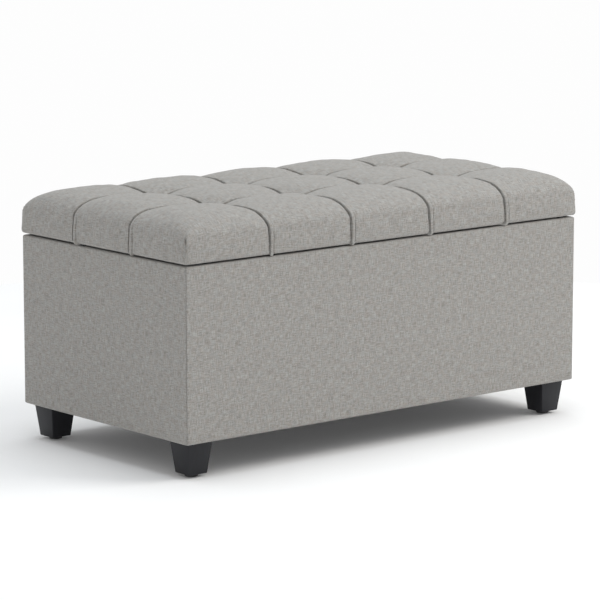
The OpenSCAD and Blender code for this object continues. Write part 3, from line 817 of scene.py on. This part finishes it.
def blow_up(mesh, held):
    """Runs cloth under pressure on a mesh held at some vertices, and gives each vertex's shift."""
    scene = bpy.context.scene
    model = bpy.data.objects.new("blown_up", mesh)
    scene.collection.objects.link(model)
    pins = model.vertex_groups.new(name=CLOTH_SETTINGS["vertex_group_mass"])
    pins.add([int(i) for i in held], 1.0, "REPLACE")
    cloth = model.modifiers.new("cloth", "CLOTH")
    for name, value in CLOTH_SETTINGS.items():
        setattr(cloth.settings, name, value)
    cloth.settings.effector_weights.gravity = 0
    cloth.collision_settings.use_collision = False
    cloth.point_cache.frame_start = 1
    cloth.point_cache.frame_end = CLOTH_FRAMES
    for step in range(1, CLOTH_FRAMES + 1):
        scene.frame_set(step)
    blown = model.evaluated_get(bpy.context.evaluated_depsgraph_get()).data
    shift = read_rows(blown.vertices, "co") - read_rows(mesh.vertices, "co")
    bpy.data.objects.remove(model)
    scene.frame_set(1)
    size = np.linalg.norm(shift, axis=1, keepdims=True)
    return shift * np.minimum(1, CLOTH_CAP / np.maximum(size, 1e-9))


def swelling():
    """How far the stuffing presses the cover out between its creases, as a function of place."""
    mesh, places, held = cushion(**SIMULATED_STEPS, sewn="plain")
    shift = blow_up(mesh, held)
    tree = KDTree(len(places))
    for index, place in enumerate(places):
        tree.insert(place, index)
    tree.balance()

    def swell(points):
        moved = np.zeros_like(points)
        for row, point in enumerate(points):
            near = tree.find_n(point, SWELL_NEIGHBOURS)
            weight = np.array([math.exp(-(away / SWELL_REACH) ** 2) for _, _, away in near]) + 1e-9
            moved[row] = weight @ shift[[index for _, index, _ in near]] / weight.sum()
        return moved

    return swell


def make_lid_cover():
    """The tufted cover."""
    swell = swelling()
    mesh, _, _ = cushion(**COVER_STEPS, sewn="folds", swell=swell)
    cover = piece("lid_cover_tufted", mesh, "lid", "linen_fabric", "lid_cover")
    thicken(cover, COVER_THICKNESS)


def make_lid_foam():
    mesh, _, _ = cushion(**FOAM_STEPS, sewn="channels", shrink=FOAM_SHRINK, foot=BOARD_HI.z)
    foam = piece("lid_foam_block", mesh, "lid", "foam", "lid_foam")
    fill_underside(foam.data)


def fill_underside(mesh):
    """Closes the opening of a surface with one face."""
    work = bmesh.new()
    work.from_mesh(mesh)
    bmesh.ops.contextual_create(work, geom=[edge for edge in work.edges if edge.is_boundary])
    bmesh.ops.recalc_face_normals(work, faces=work.faces)
    work.to_mesh(mesh)
    work.free()


# ---------------------------------------------------------------- the box's upholstery

BOX_EDGE_RADIUS = 3 * MM
BOX_CORNER_RADIUS = 2.6 * MM
BOX_LIP = 15 * MM              # cloth turned over a wall's top and under its foot
SEAM_TUCK = 2.6 * MM           # cloth turned into the seam at a corner,
SEAM_SLOPE = 0.7               # at about 45 degrees
SEAM_GAP = 0.25 * MM           # half the gap that shows along it
WALL_ROW = 8 * MM              # the height of the faces down a wall
WALL_STEPS = {"fine": 2 * MM, "coarse": 9 * MM, "reach": 40 * MM}


def lip_profile(low, high):
    """(inset, height, arc) down a covered wall: over its top lip, down its face and under its lower lip."""
    radius = BOX_EDGE_RADIUS
    turns = [math.pi / 2 * k / ROLL_STEPS for k in range(ROLL_STEPS + 1)]
    points = [(BOX_LIP, high)]
    points += [(radius * (1 - math.sin(turn)), high - radius * (1 - math.cos(turn))) for turn in turns]
    rows = round((high - low) / WALL_ROW)
    points += [(0.0, high - radius + (low - high + 2 * radius) * k / rows) for k in range(1, rows)]
    points += [(radius * (1 - math.cos(turn)), low + radius * (1 - math.sin(turn))) for turn in turns]
    points.append((BOX_LIP, low))
    arcs = np.concatenate([[0], np.cumsum(np.hypot(*np.diff(np.array(points), axis=0).T))])
    return [(inset, height, arc) for (inset, height), arc in zip(points, arcs)]


def wall_cover(half_run, half_out, low, high):
    """Cloth over one wall, from corner seam to corner seam, facing out along the first axis.

    Gives (run, out, height) points, so that the caller can turn it to its side of the box."""
    radius = BOX_CORNER_RADIUS
    straight = half_run - radius
    run = graded(-straight, straight, [-half_run, half_run], **WALL_STEPS)
    bend = []
    for k in range(1, ROLL_STEPS + 1):
        turn = math.pi / 4 * k / ROLL_STEPS
        place = straight + radius * math.sin(turn)
        bend.append((place, radius * (1 - math.cos(turn)), straight + radius * turn))
    last, inset, along = bend.pop()
    tuck = SEAM_TUCK * SEAM_SLOPE
    bend.append((last - SEAM_GAP, inset, along))
    bend.append((last - SEAM_GAP - tuck, inset + tuck, along + SEAM_TUCK))
    mirrored = [(-place, inset, -along) for place, inset, along in reversed(bend)]
    stations = mirrored + [(place, 0.0, place) for place in run] + bend
    rows = lip_profile(low, high)
    points = np.zeros((len(rows), len(stations), 3))
    cloth = np.zeros((len(rows), len(stations), 2))
    for i, (inset, height, down) in enumerate(rows):
        for j, (place, corner_inset, along) in enumerate(stations):
            points[i, j] = (place * (half_run - inset) / half_run, half_out - inset - corner_inset, height)
            cloth[i, j] = (along, -down)
    return points, cloth


def make_wall_covers():
    lo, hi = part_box("front_cover")
    half_x = hi.x
    half_y = -lo.y
    sides = {
        "front": ("front_panel", half_x, half_y, lambda p: (p[0], -p[1], p[2])),
        "back": ("back_panel", half_x, half_y, lambda p: (-p[0], p[1], p[2])),
        "left": ("left_end_panel", half_y, half_x, lambda p: (-p[1], -p[0], p[2])),
        "right": ("right_end_panel", half_y, half_x, lambda p: (p[1], p[0], p[2])),
    }
    for side, (panel, half_run, half_out, turn) in sides.items():
        points, cloth = wall_cover(half_run, half_out, lo.z, hi.z)
        work = Patchwork()
        work.grid(np.array([[turn(p) for p in row] for row in points]), cloth)
        name = side + "_upholstery"
        cover = piece(name, work.mesh(name), "box", "linen_fabric", side + "_cover")
        thicken(cover, COVER_THICKNESS)


# ---------------------------------------------------------------- linings

LINING_THICKNESS = 0.5 * MM
LINING_STEPS = {"fine": 1.5 * MM, "coarse": 12 * MM, "reach": 40 * MM}
HEM_WIDTH = 9 * MM
HEM_STEP = 0.35 * MM           # how far a folded hem stands proud
HEM_SOFTNESS = 1.5 * MM        # the width of the step at its edge
WAVER = 0.25 * MM
WAVER_REACH = 60 * MM          # how far in from the edge the wavers are fully grown
WALL_HEM = 14 * MM             # the same three for the band round the walls
WALL_HEM_STEP = 0.3 * MM
WALL_WAVER = 0.2 * MM
WALL_CLEARANCE = 0.65 * MM     # how far inside the CAD lining's outer face the band's face lies
WALL_CORNER = 3 * MM           # the radius of its corners
WALL_CORNER_STEPS = 4
WALL_STEP = 14 * MM            # the length of its faces along the walls


def flat_cloth(name, body, slot, replaced, face_up):
    """A rectangle of cloth in a CAD node's place, with a folded hem round it and faint wavers."""
    lo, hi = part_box(replaced)
    half_x, half_y = (hi.x - lo.x) / 2, (hi.y - lo.y) / 2
    mid_x, mid_y = (hi.x + lo.x) / 2, (hi.y + lo.y) / 2
    us = graded(-half_x, half_x, [-half_x, half_x], **LINING_STEPS)
    vs = graded(-half_y, half_y, [-half_y, half_y], **LINING_STEPS)
    u, v = np.meshgrid(us, vs, indexing="ij")
    edge = np.minimum(half_x - abs(u), half_y - abs(v))
    folded = HEM_STEP * smoothstep((HEM_WIDTH - edge) / HEM_SOFTNESS)
    wave = np.sin(u * 37 + 1.7 * np.sin(v * 21)) * np.sin(v * 43 + 1.3 * np.sin(u * 17))
    proud = folded + WAVER * wave * smoothstep(edge / WAVER_REACH)
    sign = 1 if face_up else -1
    base = (hi.z if face_up else lo.z) - sign * (HEM_STEP + WAVER)
    points = np.stack([mid_x + u, mid_y + v, base + sign * proud], axis=-1)
    work = Patchwork()
    work.grid(points, np.stack([u, v], axis=-1), not face_up)
    cloth = piece(name, work.mesh(name), body, slot, replaced)
    thicken(cloth, LINING_THICKNESS)


def rounded_path(half_x, half_y, radius):
    """A closed path round a rectangle with rounded corners, its first point repeated at its end."""
    path = []
    for sign_x, sign_y in ((1, -1), (1, 1), (-1, 1), (-1, -1)):
        start = math.atan2(sign_y, sign_x) - math.pi / 4
        centre = Vector((sign_x * (half_x - radius), sign_y * (half_y - radius)))
        for bend in range(WALL_CORNER_STEPS + 1):
            turn = start + math.pi / 2 * bend / WALL_CORNER_STEPS
            path.append(centre + Vector((math.cos(turn), math.sin(turn))) * radius)
    path.append(path[0].copy())
    dense = [path[0]]
    for a, b in zip(path, path[1:]):
        steps = max(1, round((b - a).length / WALL_STEP))
        dense += [a.lerp(b, (k + 1) / steps) for k in range(steps)]
    return dense


def make_wall_lining():
    """The lining round the four inner walls, in one band sewn at its corners, hemmed along its top."""
    lo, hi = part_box("wall_lining")
    half_x, half_y = hi.x - WALL_CLEARANCE, hi.y - WALL_CLEARANCE
    straight_x, straight_y = half_x - WALL_CORNER, half_y - WALL_CORNER
    path = rounded_path(half_x, half_y, WALL_CORNER)
    heights = graded(lo.z, hi.z, [lo.z, hi.z], **LINING_STEPS)
    arc = np.concatenate([[0], np.cumsum([(b - a).length for a, b in zip(path, path[1:])])])
    points = np.zeros((len(path), len(heights), 3))
    cloth = np.zeros((len(path), len(heights), 2))
    for i, place in enumerate(path):
        beyond_x = abs(place.x) > straight_x
        beyond_y = abs(place.y) > straight_y
        inward = -Vector((np.sign(place.x) * beyond_x, np.sign(place.y) * beyond_y))
        for j, z in enumerate(heights):
            fold = WALL_HEM_STEP * float(smoothstep((WALL_HEM - (hi.z - z)) / HEM_SOFTNESS))
            wave = WALL_WAVER * math.sin(arc[i] * 31 + 2 * math.sin(z * 19)) * math.sin(z * 27)
            moved = place + inward * (fold + wave)
            points[i, j] = (moved.x, moved.y, z)
            cloth[i, j] = (arc[i], z)
    points[-1] = points[0]
    work = Patchwork()
    work.grid(points, cloth)
    name = "wall_lining_cloth"
    lining = piece(name, work.mesh(name), "box", "lining_fabric", "wall_lining")
    thicken(lining, LINING_THICKNESS)


def make_linings():
    flat_cloth("lid_underside_lining", "lid", "lining_fabric", "lid_lining", False)
    flat_cloth("underside_dust_cloth", "box", "dust_fabric", "dust_cover", False)
    flat_cloth("floor_lining_cloth", "box", "lining_fabric", "floor_lining", True)
    make_wall_lining()


# ---------------------------------------------------------------- legs and hardware

LEGS = ("leg_front_left", "leg_front_right", "leg_back_left", "leg_back_right")
LEG_FOOT = 37 / 50             # the foot's width over the top's
LEG_BEVEL = 1.2 * MM


def make_leg(name):
    """A tapered square leg with softened edges."""
    lo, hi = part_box(name)
    mid = (lo + hi) / 2
    half = (hi - lo) / 2
    corners = ((-1, -1), (1, -1), (1, 1), (-1, 1))
    work = bmesh.new()
    foot, head = [
        [work.verts.new((mid.x + sx * half.x * share, mid.y + sy * half.y * share, z)) for sx, sy in corners]
        for z, share in ((lo.z, LEG_FOOT), (hi.z, 1.0))
    ]
    work.faces.new(reversed(foot))
    work.faces.new(head)
    for k in range(4):
        after = (k + 1) % 4
        work.faces.new((foot[k], foot[after], head[after], head[k]))
    bmesh.ops.bevel(work, geom=list(work.edges), offset=LEG_BEVEL, segments=3, profile=0.5, affect="EDGES")
    mesh = bpy.data.meshes.new(name)
    work.to_mesh(mesh)
    work.free()
    piece(name + "_turned", mesh, "box", "black_wood", name)


def finish_cad_nodes():
    """Gives every CAD node that stays in view its slot's finish; they come in named after their slots."""
    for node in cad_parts.values():
        for place in node.material_slots:
            place.material = MATERIALS[place.material.name.split(".")[0]]


# ---------------------------------------------------------------- the scene

make_camera()
make_studio()
MATERIALS = make_materials()
make_lid_cover()
make_lid_foam()
make_wall_covers()
make_linings()
for leg_name in LEGS:
    make_leg(leg_name)
finish_cad_nodes()
